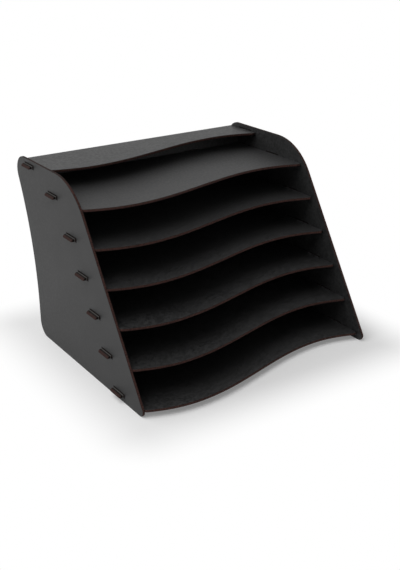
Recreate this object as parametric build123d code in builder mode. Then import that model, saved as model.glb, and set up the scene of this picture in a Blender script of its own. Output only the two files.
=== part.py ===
from build123d import *
import os
from math import cos, radians, sin, sqrt, tan

# A desktop document rack: two side panels, a bottom shelf, five shelves, a back board and
# a top cap. X runs across the rack, -Y is its open front and +Z is up. The origin is the
# middle of the rack's box, on the surface that it stands on. Lengths are in millimetres.

# Sheet and overall size
sheet_t = 3.0               # thickness of every board
outer_width = 328.0         # across the outer faces of the two side panels
panel_h = 231.0             # height of the side panels

# Side panel outline
foot_depth = 261.0          # bottom edge, before its corners are rounded
front_lean_angle = 32.4     # front edge, degrees back from upright
rear_upright_h = 40.5       # upright lower stretch of the rear edge
rear_flare = 47.5           # how far the rear edge swings back above that stretch
toe_r = 6.5                 # bottom front corner
heel_r = 18.0               # bottom rear corner
crest_r = 20.0              # top rear corner
shoulder_r = 76.0           # top front corner

# Levels, at the middle of a board's thickness
bottom_level = 8.0          # bottom shelf above the standing surface
cap_drop = 7.5              # top cap below the top of the panels
top_pitch = 21.5            # highest shelf below the top cap
shelf_names = ["bottom_shelf", "shelf_1", "shelf_2", "shelf_3", "shelf_4", "shelf_5"]

# Board outlines
wave_setback = 3.3          # mean front edge of a shelf behind the panels' front edges
wave_depth = 17.9           # swing of the front edge to each side of its mean line
wave_crest = 98.0           # where it swings furthest, to each side of the rack's middle
wave_end = 3.4              # swing that is left where it meets the side panels
corner_r = 4.0              # front corners
rear_inset = 2.0            # bottom shelf and top cap inside the panels' rear edges
cap_depth = 61.5            # top cap, from its mean front edge to its rear edge

# Back board, which stands on the bottom shelf and leans back up to the top cap
back_lean_angle = 8.0       # degrees back from upright
back_setback = 15.0         # front face of its foot inside the panels' upright rear edges
back_play_top = 0.3         # gap under the top cap

# Tongues and the slots that they go through
tongue_len = 22.0           # along the edge of the board
tongue_proud = 5.6          # past the outer face of a side panel
tongue_bevel = 2.3          # lead-in along the upper edge of its end
tongue_r = 1.5              # rounding of the outer corners
tongue_setback = 52.2       # middle of the tongue behind the panels' front edges
top_tongue_setback = 70.2   # the same on the highest shelf, clear of the rounded shoulder
rear_tongue_proud = 1.0     # past the rear face of the back board
rear_tongue_pitch = 160.0   # between the two tongues on a shelf's rear edge
slot_play_top = 0.6         # slot above the tongue, which rests on the slot's floor
slot_play_front = 1.4       # slot in front of the tongue
back_slot_play = 0.2        # slot in the back board above a rear tongue

# Worked out from the sizes above
inner_half = outer_width / 2 - sheet_t
tongue_reach = sheet_t + tongue_proud
cap_level = panel_h - cap_drop
level_pitch = (cap_level - top_pitch - bottom_level) / (len(shelf_names) - 1)
lean = tan(radians(front_lean_angle))
flare_h = panel_h - rear_upright_h
flare_r = (flare_h**2 + rear_flare**2) / (2 * rear_flare)
flare_centre_y = foot_depth + flare_r

# The top rear corner is an arc between the flared rear edge and the top edge
crest_z = panel_h - crest_r
crest_rise = crest_z - rear_upright_h
crest_y = flare_centre_y - sqrt((flare_r + crest_r) ** 2 - crest_rise**2)
crest_start_z = rear_upright_h + crest_rise * flare_r / (flare_r + crest_r)

# Depths are first counted from the sharp front corner of the panels' bottom edges, and
# that corner is then placed so that the whole rack is centred from front to rear
bulge_front = bottom_level * lean + wave_setback - wave_depth
toe_front = toe_r * lean + toe_r / cos(radians(front_lean_angle)) - toe_r
toe_y = -(min(bulge_front, toe_front) + crest_y + crest_r) / 2

# Back board: the foot of its front face, its slope and what a level tongue needs to pass it
back_sin = sin(radians(back_lean_angle))
back_cos = cos(radians(back_lean_angle))
back_slope = back_sin / back_cos
back_foot_y = toe_y + foot_depth - back_setback
back_foot_z = bottom_level + sheet_t / 2 + sheet_t * back_sin
back_len = (cap_level - sheet_t / 2 - back_play_top - back_foot_z) / back_cos
back_slot_h = sheet_t / back_cos + sheet_t * back_slope + back_slot_play
rear_tongue_reach = sheet_t / back_cos + sheet_t * back_slope + rear_tongue_proud


def front_edge(z):
    """Y of the panels' straight front edge at height z."""
    return toe_y + z * lean


def rear_edge(z):
    """Y of the panels' rear edge at height z."""
    if z < heel_r:
        return toe_y + foot_depth - heel_r + sqrt(heel_r**2 - (heel_r - z) ** 2)
    if z <= rear_upright_h:
        return toe_y + foot_depth
    if z <= crest_start_z:
        return toe_y + flare_centre_y - sqrt(flare_r**2 - (z - rear_upright_h) ** 2)
    return toe_y + crest_y + sqrt(crest_r**2 - (z - crest_z) ** 2)


def back_face(z):
    """Y of the back board's front face at height z."""
    return back_foot_y + (z - back_foot_z) * back_slope


def wave_edge(mean_y):
    """Front edge of a board: one wave, forward on the left and back on the right."""
    middle_slope = 1.5 * wave_depth / wave_crest
    end_slope = -2 * (wave_depth - wave_end) / (inner_half - wave_crest)
    stations = [-inner_half, -wave_crest, 0, wave_crest, inner_half]
    swings = [-wave_end, -wave_depth, 0, wave_depth, wave_end]
    slopes = [end_slope, 0, middle_slope, 0, end_slope]
    points = [(x, mean_y + swing) for x, swing in zip(stations, swings)]
    return Spline(*points, tangents=[(1, slope) for slope in slopes])


# Each board: its name, level, mean front edge, rear edge, end tongues' middle and the reach
# of its rear tongues. The bottom shelf and the top cap run on past the back board, and the
# shelves between them end at it.
boards = []
for index, name in enumerate(shelf_names):
    level = bottom_level + index * level_pitch
    front = front_edge(level)
    setback = top_tongue_setback if name == shelf_names[-1] else tongue_setback
    if index == 0:
        rear, rear_reach = rear_edge(level) - rear_inset, 0
    else:
        rear, rear_reach = back_face(level - sheet_t / 2), rear_tongue_reach
    boards.append((name, level, front + wave_setback, rear, front + setback, rear_reach))
cap_rear = rear_edge(cap_level) - rear_inset
boards.append(("top_cap", cap_level, cap_rear - cap_depth, cap_rear, cap_rear - cap_depth / 2, 0))

os.makedirs("parts", exist_ok=True)

# Side panels, the same outline twice, with one slot for each board
for name, face_x in (("left_side_panel", -outer_width / 2), ("right_side_panel", inner_half)):
    with BuildPart() as panel:
        with BuildSketch(Plane.YZ.offset(face_x)) as outline:
            with BuildLine():
                upright = Line((toe_y + foot_depth, 0), (toe_y + foot_depth, rear_upright_h))
                flare = TangentArc(upright @ 1, (toe_y + foot_depth + rear_flare, panel_h), tangent=(0, 1))
                Polyline(flare @ 1, (front_edge(panel_h), panel_h), (toe_y, 0), upright @ 0)
            make_face()
            fillet(outline.vertices().group_by(Axis.Y)[0].sort_by(Axis.X)[0], toe_r)
            fillet(outline.vertices().group_by(Axis.Y)[0].sort_by(Axis.X)[-1], heel_r)
            fillet(outline.vertices().group_by(Axis.Y)[-1].sort_by(Axis.X)[0], shoulder_r)
            fillet(outline.vertices().group_by(Axis.Y)[-1].sort_by(Axis.X)[-1], crest_r)
            slot_places = [
                (tongue_y - slot_play_front / 2, level + slot_play_top / 2)
                for _, level, _, _, tongue_y, _ in boards
            ]
            with Locations(*slot_places):
                Rectangle(tongue_len + slot_play_front, sheet_t + slot_play_top, mode=Mode.SUBTRACT)
        extrude(amount=sheet_t)
    panel.part.label = name
    export_step(panel.part, f"parts/{name}.step")

# Back board, with two slots for each shelf that ends at it
back_plane = Plane((0, back_foot_y, back_foot_z), x_dir=(1, 0, 0), z_dir=(0, -back_cos, back_sin))
with BuildPart() as back_board:
    with BuildSketch(back_plane):
        Rectangle(2 * inner_half, back_len, align=(Align.CENTER, Align.MIN))
        for _, level, _, _, _, rear_reach in boards:
            if rear_reach:
                floor_s = (level - sheet_t / 2 - back_foot_z) / back_cos
                with Locations((0, floor_s + back_slot_h / 2)):
                    with GridLocations(rear_tongue_pitch, 0, 2, 1):
                        Rectangle(tongue_len + slot_play_front, back_slot_h, mode=Mode.SUBTRACT)
    extrude(amount=-sheet_t)
back_board.part.label = "back_board"
export_step(back_board.part, "parts/back_board.step")

# Shelves and top cap, each with a waved front edge and a bevelled tongue at each end
for name, level, front_y, rear_y, tongue_y, rear_reach in boards:
    with BuildPart() as board:
        with BuildSketch(Plane.XY.offset(level - sheet_t / 2)) as outline:
            with BuildLine():
                wave = wave_edge(front_y)
                Polyline(wave @ 1, (inner_half, rear_y), (-inner_half, rear_y), wave @ 0)
            make_face()
            fillet(outline.vertices().sort_by(Axis.Y)[:2], corner_r)
            with Locations((-inner_half, tongue_y), (inner_half, tongue_y)):
                Rectangle(2 * tongue_reach, tongue_len)
            fillet(outline.vertices().group_by(Axis.X)[0], tongue_r)
            fillet(outline.vertices().group_by(Axis.X)[-1], tongue_r)
            if rear_reach:
                with Locations((0, rear_y)):
                    with GridLocations(rear_tongue_pitch, 0, 2, 1):
                        Rectangle(tongue_len, 2 * rear_reach)
                fillet(outline.vertices().group_by(Axis.Y)[-1], tongue_r)
        extrude(amount=sheet_t)
        with BuildSketch(Plane.XZ.offset(-tongue_y)):
            for side in (-1, 1):
                tip, top = side * (inner_half + tongue_reach), level + sheet_t / 2
                with BuildLine():
                    Polyline(
                        (tip + side * tongue_bevel, top + tongue_bevel),
                        (tip - 2 * side * tongue_bevel, top + tongue_bevel),
                        (tip + side * tongue_bevel, top - 2 * tongue_bevel),
                        close=True,
                    )
                make_face()
        extrude(amount=tongue_len, both=True, mode=Mode.SUBTRACT)
    board.part.label = name
    export_step(board.part, f"parts/{name}.step")
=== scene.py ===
from math import radians

import bpy
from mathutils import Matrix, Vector


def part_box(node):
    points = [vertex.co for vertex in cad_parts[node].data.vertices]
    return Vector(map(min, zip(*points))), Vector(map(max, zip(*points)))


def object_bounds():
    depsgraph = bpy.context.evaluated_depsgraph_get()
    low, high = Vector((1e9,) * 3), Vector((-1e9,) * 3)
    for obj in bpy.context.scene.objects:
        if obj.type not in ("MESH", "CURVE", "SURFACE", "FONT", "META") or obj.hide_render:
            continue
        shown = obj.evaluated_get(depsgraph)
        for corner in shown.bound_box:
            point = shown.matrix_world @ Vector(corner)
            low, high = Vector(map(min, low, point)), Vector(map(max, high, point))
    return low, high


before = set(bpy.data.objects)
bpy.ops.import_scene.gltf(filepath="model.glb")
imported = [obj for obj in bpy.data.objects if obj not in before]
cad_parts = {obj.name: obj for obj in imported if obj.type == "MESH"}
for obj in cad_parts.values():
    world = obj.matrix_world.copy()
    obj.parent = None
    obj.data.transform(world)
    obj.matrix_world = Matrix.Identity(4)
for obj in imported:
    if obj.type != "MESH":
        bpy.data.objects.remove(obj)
cad_low, cad_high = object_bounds()

# Photograph: its height, the lens that it was taken with and where that stood, in metres
PHOTO_H_PX = 570
FOCAL_PX = 871.35
SENSOR_MM = 36.0
CAMERA_AT = (-0.5710, -0.8408, 0.5075)
CAMERA_PITCH = radians(23.361)      # below the horizon
CAMERA_YAW = radians(34.459)        # from +Y towards +X

# Directions in the rack's frame
ACROSS_RACK = (1.0, 0.0, 0.0)
REARWARD = (0.0, 1.0, 0.0)
UPWARD = (0.0, 0.0, 1.0)

# Arrises of the boards, in metres
ARRIS_R = 0.0003                    # rounding left along each cut edge
ARRIS_STEPS = 2
ARRIS_ANGLE = radians(40)           # edges sharper than this are rounded
FLAT_ANGLE = radians(0.2)           # triangles that turn by less than this become one face
WELD_GAP = 0.00001

# Board colours, linear
FACING_DARK = (0.013, 0.013, 0.0132)
FACING_LIGHT = (0.040, 0.040, 0.0405)
CORE_DARK = (0.036, 0.0172, 0.0146)
CORE_LIGHT = (0.10, 0.0475, 0.0402)
# Near-black: real char on cut edges, and painted shade in and around the slots and on the rear
# tongues
CHAR_AND_SHADE = (0.008, 0.006, 0.0055)
# Pale painted highlight on the end tongues' tops
PAINTED_HIGHLIGHT = (0.10, 0.096, 0.09)

# Where the arris and then the face take over from the cut edge, as cosines between the
# surface's normal and the direction through the board
ARRIS_COSINES = (0.20, 0.45)
FACE_COSINES = (0.80, 0.97)

# Noise and relief: a span is the stretch of a noise's values from the first tone to the second
NOISE_DETAIL = 3.0
NOISE_GAIN = 0.5                    # share that each finer layer of the noise keeps
BUMP_STRENGTH = 0.6
BUMP_UNIT = 1.0                     # heights of the relief are in metres

# Facing
FACING_ROUGHNESS = (0.41, 0.62)
SHINE = 0.258
PEBBLE_PER_M = 1100.0               # pebbles that stand out of the facing
PEBBLE_H = 0.00006
GRAIN_PER_M = 340.0                 # fine change of tone over a board
GRAIN_TONE_SPAN = (0.28, 0.72)
GRAIN_GLOSS_SPAN = (0.25, 0.75)
CLOUD_PER_M = 24.0                  # slow change of tone over a board
CLOUD_DETAIL = 2.0
CLOUD_SPAN = (0.30, 0.70)
CLOUD_SHARE = 0.14

# Cut edge: streaks that run through the board, and how far it is browned towards black
CORE_ROUGHNESS = 1.0
STREAK_PER_M = 1500.0               # lines that the cut leaves across an edge
STREAK_GAIN = 0.6
STREAK_SPAN = (0.32, 0.68)
STREAK_PULL = 0.94                  # how far the noise is drawn out into lines
STREAK_H = 0.00008
NEAR_FACE_SHARES = (0.30, 0.50)     # of the thickness, out from the middle of the board
NEAR_FACE_CHAR = 0.8
# How far edges that face up are darkened towards black
UP_EDGE_COSINES = (0.88, 0.98)         # between the edge's normal and straight up
UP_EDGE_DARKENING = 0.75
ARRIS_CHAR = 0.4

# Tongues at the ends of shelves and cap, counted out from the side panels' outer faces: painted
# shade inside the slot, scorched around the tip, and a painted highlight between
IN_SLOT_SHADE = (-0.0030, 0.0)
HIGHLIGHT_BAND = (0.0006, 0.0014)
TIP_BAND = (0.0018, 0.0034)
TIP_CHAR = 0.55                     # how far the tip itself is browned towards black
BAND_FADE = 0.0003
REAR_TONGUE = 0.0045                # tongues on a shelf's rear edge, painted dark all over as shade

# Slots in the side panels, each with a rim of painted shade for the dark gap around its tongue
SIDE_PANELS = ("left_side_panel", "right_side_panel")
SLOT_PLAY_TOP = 0.0006              # slot above its tongue
SLOT_PLAY_FRONT = 0.0014            # slot in front of its tongue
SHADE_RIM_W = 0.0012
FAR_OFF = 1.0                       # further from a slot than any point of the rack

# Studio
WHITE = 1.0                         # strength that the picture shows as white
FLOOR_R = 12.0
FLOOR_SIDES = 96
FADE_FROM = -0.010                  # past the rack's box, where the floor turns plain white
FADE_TO = 0.078
FLOOR_COLOR = (0.80, 0.80, 0.80)
FLOOR_LIFT = 0.18
SKY_DIM = 0.05
SKY_BRIGHT = 2.1
SKY_CENTRE = (-0.50, 0.30, 0.81)    # where the light is strongest
SKY_FROM = 0.58                     # cosine from there at which it begins
SKY_TO = 0.96                       # and at which it is full


def opaque(color):
    """A colour with its alpha, or a node's output as it is."""
    if isinstance(color, bpy.types.NodeSocket):
        return color
    return (*color, 1.0)


class Nodes:
    """Adds shader nodes to one tree and links them up."""

    def __init__(self, tree):
        self.tree = tree
        self.tree.nodes.clear()

    def add(self, kind, inputs=(), **settings):
        """A node with its settings. Each input is a value, or another node's output to link."""
        node = self.tree.nodes.new(kind)
        for name, value in settings.items():
            setattr(node, name, value)
        for key, value in dict(inputs).items():
            if isinstance(value, bpy.types.NodeSocket):
                self.tree.links.new(value, node.inputs[key])
            else:
                node.inputs[key].default_value = value
        return node

    def math(self, operation, a, b=0.0):
        return self.add("ShaderNodeMath", {0: a, 1: b}, operation=operation).outputs[0]

    def vector(self, operation, a, b=(0.0, 0.0, 0.0)):
        return self.add("ShaderNodeVectorMath", {0: a, 1: b}, operation=operation).outputs[0]

    def dot(self, a, b):
        node = self.add("ShaderNodeVectorMath", {0: a, 1: b}, operation="DOT_PRODUCT")
        return node.outputs["Value"]

    def noise(self, vector, scale, detail=NOISE_DETAIL, gain=NOISE_GAIN):
        inputs = {"Vector": vector, "Scale": scale, "Detail": detail, "Roughness": gain}
        return self.add("ShaderNodeTexNoise", inputs).outputs[0]

    def ramp(self, value, start, end, low=0.0, high=1.0):
        """Low up to start and high from end on, with a smooth rise between."""
        inputs = {"Value": value, "From Min": start, "From Max": end, "To Min": low, "To Max": high}
        return self.add("ShaderNodeMapRange", inputs, interpolation_type="SMOOTHSTEP").outputs[0]

    def mix(self, factor, a, b):
        """A colour between a and b. A mix node's inputs 6 and 7 and its output 2 are colours."""
        inputs = {0: factor, 6: opaque(a), 7: opaque(b)}
        return self.add("ShaderNodeMix", inputs, data_type="RGBA").outputs[2]

    def blend(self, factor, a, b):
        """A number between a and b. A mix node's inputs 2 and 3 and its output 0 are numbers."""
        return self.add("ShaderNodeMix", {0: factor, 2: a, 3: b}, data_type="FLOAT").outputs[0]


def new_material(name):
    """An empty material, and what adds its nodes."""
    material = bpy.data.materials.new(name)
    material.use_nodes = True
    return material, Nodes(material.node_tree)


def board_shape(node):
    """The direction through a board, its middle along that direction, and its thickness."""
    widest = max(node.data.polygons, key=lambda polygon: polygon.area)
    across = widest.normal.normalized()
    distances = [vertex.co.dot(across) for vertex in node.data.vertices]
    middle = (max(distances) + min(distances)) / 2
    thickness = max(distances) - min(distances)
    return across, middle, thickness


def find_slots():
    """Low and high corners of the slots that the boards' end tongues go through."""
    corners = []
    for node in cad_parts.values():
        past = [vertex.co for vertex in node.data.vertices if vertex.co.x > outer_face]
        if past:
            low = [min(co[axis] for co in past) for axis in range(3)]
            high = [max(co[axis] for co in past) for axis in range(3)]
            # A slot runs on in front of its tongue and above it
            low[1] -= SLOT_PLAY_FRONT
            high[2] += SLOT_PLAY_TOP
            corners.append((low, high))
    return corners


def band(n, value, start, end):
    """1 from start to end, with soft sides, and 0 elsewhere."""
    rise = n.ramp(value, start - BAND_FADE, start)
    fall = n.ramp(value, end, end + BAND_FADE, 1.0, 0.0)
    return n.math("MULTIPLY", rise, fall)


def slot_shade_rims(n, point):
    """Painted shade: 1 on and around the slots in a side panel, and 0 elsewhere."""
    nearest = FAR_OFF
    for low, high in slots:
        centre = [(a + b) / 2 for a, b in zip(low, high)]
        half = [(b - a) / 2 for a, b in zip(low, high)]
        mirrored = n.vector("ABSOLUTE", n.vector("SUBTRACT", point, centre))
        past = n.add("ShaderNodeSeparateXYZ", {0: n.vector("SUBTRACT", mirrored, half)}).outputs
        nearest = n.math("MINIMUM", n.math("MAXIMUM", past["Y"], past["Z"]), nearest)
    return n.ramp(nearest, SHADE_RIM_W - BAND_FADE, SHADE_RIM_W + BAND_FADE, 1.0, 0.0)


def rear_tongue_shade(n, point, rear_y):
    """Painted shade: 1 on a shelf's rear tongues, which end at rear_y, and 0 elsewhere."""
    start = rear_y - REAR_TONGUE
    return n.ramp(n.dot(point, REARWARD), start - BAND_FADE, start)


def facing_finish(n, point):
    """Colour, roughness and relief of the black facing."""
    pebble = n.noise(point, PEBBLE_PER_M)
    grain = n.noise(point, GRAIN_PER_M)
    cloud = n.noise(point, CLOUD_PER_M, CLOUD_DETAIL)
    tone = n.blend(CLOUD_SHARE, n.ramp(grain, *GRAIN_TONE_SPAN), n.ramp(cloud, *CLOUD_SPAN))
    color = n.mix(tone, FACING_DARK, FACING_LIGHT)
    rough = n.ramp(grain, *GRAIN_GLOSS_SPAN, *FACING_ROUGHNESS)
    return color, rough, n.math("MULTIPLY", pebble, PEBBLE_H)


def core_finish(n, point, across, along):
    """Colour and relief of the core, with streaks through the board."""
    pull = n.math("MULTIPLY", along, -STREAK_PULL)
    shift = n.add("ShaderNodeVectorMath", {0: across, "Scale": pull}, operation="SCALE").outputs[0]
    streak = n.noise(n.vector("ADD", point, shift), STREAK_PER_M, gain=STREAK_GAIN)
    color = n.mix(n.ramp(streak, *STREAK_SPAN), CORE_DARK, CORE_LIGHT)
    return color, n.math("MULTIPLY", streak, STREAK_H)


def board_material(name):
    """Black facing on a board's two faces, and a browned, streaked core on its cut edges."""
    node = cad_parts[name]
    across, middle, thickness = board_shape(node)
    material, n = new_material(f"{name}_board")
    place = n.add("ShaderNodeTexCoord").outputs
    point = place["Object"]
    normal = place["Normal"]
    along = n.dot(point, across)
    depth = n.math("DIVIDE", n.math("SUBTRACT", along, middle), thickness)
    facing = n.math("ABSOLUTE", n.dot(normal, across))
    is_face = n.ramp(facing, *FACE_COSINES)
    is_arris = n.ramp(facing, *ARRIS_COSINES)
    face_color, face_rough, face_relief = facing_finish(n, point)
    edge_color, edge_relief = core_finish(n, point, across, along)

    # The edge is charred next to the two faces, on tips and along arrises, and darkened where it
    # faces up.
    # Marks, each a mask and its colour, lie over face and edge alike: painted shade in and around
    # the slots and on the rear tongues, and a painted highlight on the end tongues.
    darkenings = [
        n.ramp(n.math("ABSOLUTE", depth), *NEAR_FACE_SHARES, 0.0, NEAR_FACE_CHAR),
        n.ramp(n.dot(normal, UPWARD), *UP_EDGE_COSINES, 0.0, UP_EDGE_DARKENING),
    ]
    marks = []
    if name in SIDE_PANELS:
        # painted shade around the slots, for the gap round each tongue
        marks.append((slot_shade_rims(n, point), CHAR_AND_SHADE))
    if max(vertex.co.x for vertex in node.data.vertices) > outer_face:
        out = n.math("SUBTRACT", n.math("ABSOLUTE", n.dot(point, ACROSS_RACK)), outer_face)
        on_tip = n.ramp(out, TIP_BAND[1] - BAND_FADE, TIP_BAND[1])
        darkenings.append(n.math("MULTIPLY", on_tip, TIP_CHAR))
        is_arris = n.math("MULTIPLY", is_arris, n.math("SUBTRACT", 1.0, on_tip))
        # painted shade on the tongue inside its slot
        marks.append((band(n, out, *IN_SLOT_SHADE), CHAR_AND_SHADE))
        # painted highlight on the tongue's top, between the slot and the scorched tip
        marks.append((band(n, out, *HIGHLIGHT_BAND), PAINTED_HIGHLIGHT))
        marks.append((band(n, out, *TIP_BAND), CHAR_AND_SHADE))
    if name.startswith("shelf_"):
        rear_y = max(vertex.co.y for vertex in node.data.vertices)
        # painted shade over the rear tongues
        marks.append((rear_tongue_shade(n, point, rear_y), CHAR_AND_SHADE))
    darkened = n.math("MULTIPLY", is_arris, ARRIS_CHAR)
    for amount in darkenings:
        darkened = n.math("MAXIMUM", darkened, amount)

    color = n.mix(is_face, n.mix(darkened, edge_color, CHAR_AND_SHADE), face_color)
    rough = n.blend(is_face, CORE_ROUGHNESS, face_rough)
    for mask, shade in marks:
        color = n.mix(mask, color, shade)
        rough = n.blend(mask, rough, CORE_ROUGHNESS)
    relief = n.blend(is_face, edge_relief, face_relief)
    bump = n.add("ShaderNodeBump", {
        "Strength": BUMP_STRENGTH,
        "Distance": BUMP_UNIT,
        "Height": relief,
    })
    shader = n.add("ShaderNodeBsdfPrincipled", {
        "Base Color": color,
        "Roughness": rough,
        "Specular IOR Level": SHINE,
        "Normal": bump.outputs[0],
    })
    n.add("ShaderNodeOutputMaterial", {"Surface": shader.outputs[0]})
    return material


def dress_board(name):
    """Rounds a board's arrises a little and gives it its finish."""
    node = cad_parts[name]
    weld = node.modifiers.new("weld", "WELD")
    weld.merge_threshold = WELD_GAP
    plain = node.modifiers.new("flat_faces", "DECIMATE")
    plain.decimate_type = "DISSOLVE"
    plain.angle_limit = FLAT_ANGLE
    arris = node.modifiers.new("arris", "BEVEL")
    arris.width = ARRIS_R
    arris.segments = ARRIS_STEPS
    arris.limit_method = "ANGLE"
    arris.angle_limit = ARRIS_ANGLE
    arris.harden_normals = True
    node.material_slots[0].material = board_material(name)


def seen_directly(n):
    """1 for what the camera sees, straight on, in a reflection or through glass."""
    path = n.add("ShaderNodeLightPath").outputs
    gloss = n.math("MAXIMUM", path["Is Glossy Ray"], path["Is Transmission Ray"])
    return n.math("MAXIMUM", path["Is Camera Ray"], gloss)


def floor_material():
    """White that keeps the rack's soft shadow and fades to plain white around it."""
    material, n = new_material("floor")
    point = n.add("ShaderNodeTexCoord").outputs["Object"]
    half = (cad_high[0], cad_high[1], 0.0)
    past = n.vector("SUBTRACT", n.vector("ABSOLUTE", point), half)
    beyond = n.vector("MAXIMUM", past, (0.0, 0.0, 0.0))
    distance = n.add("ShaderNodeVectorMath", {0: beyond}, operation="LENGTH").outputs["Value"]
    far = n.ramp(distance, FADE_FROM, FADE_TO)
    lit = n.add("ShaderNodeBsdfDiffuse", {"Color": opaque(FLOOR_COLOR)}).outputs[0]
    white = n.add("ShaderNodeEmission", {"Strength": WHITE}).outputs[0]
    lift = n.add("ShaderNodeEmission", {"Strength": FLOOR_LIFT}).outputs[0]
    near = n.add("ShaderNodeAddShader", {0: lit, 1: lift}).outputs[0]
    shown = n.add("ShaderNodeMixShader", {0: far, 1: near, 2: white}).outputs[0]
    surface = n.add("ShaderNodeMixShader", {0: seen_directly(n), 1: lit, 2: shown}).outputs[0]
    n.add("ShaderNodeOutputMaterial", {"Surface": surface})
    return material


def add_floor():
    """Round floor under the rack, which reaches far out of view."""
    bpy.ops.mesh.primitive_circle_add(vertices=FLOOR_SIDES, radius=FLOOR_R, fill_type="NGON")
    floor = bpy.context.object
    floor.name = "floor"
    floor.data.materials.append(floor_material())


def add_world():
    """White all round for the camera, and one broad soft light for the rack."""
    world = bpy.data.worlds.new("studio")
    bpy.context.scene.world = world
    world.use_nodes = True
    n = Nodes(world.node_tree)
    heading = n.add("ShaderNodeTexCoord").outputs["Generated"]
    centre = Vector(SKY_CENTRE).normalized()
    sky = n.ramp(n.dot(heading, centre), SKY_FROM, SKY_TO, SKY_DIM, SKY_BRIGHT)
    strength = n.blend(seen_directly(n), sky, WHITE)
    shade = n.add("ShaderNodeBackground", {"Color": (1.0, 1.0, 1.0, 1.0), "Strength": strength})
    n.add("ShaderNodeOutputWorld", {"Surface": shade.outputs[0]})


def add_camera():
    """Camera where the photograph was taken from, with the same lens."""
    lens = bpy.data.cameras.new("photo_camera")
    lens.sensor_width = SENSOR_MM
    lens.lens = FOCAL_PX * SENSOR_MM / PHOTO_H_PX
    camera = bpy.data.objects.new("photo_camera", lens)
    camera.location = CAMERA_AT
    camera.rotation_euler = (radians(90) - CAMERA_PITCH, 0.0, -CAMERA_YAW)
    bpy.context.collection.objects.link(camera)
    bpy.context.scene.camera = camera


outer_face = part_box("right_side_panel")[1][0]
slots = find_slots()
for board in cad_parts:
    dress_board(board)

add_camera()
add_floor()
add_world()
bpy.context.scene.view_settings.view_transform = "Standard"
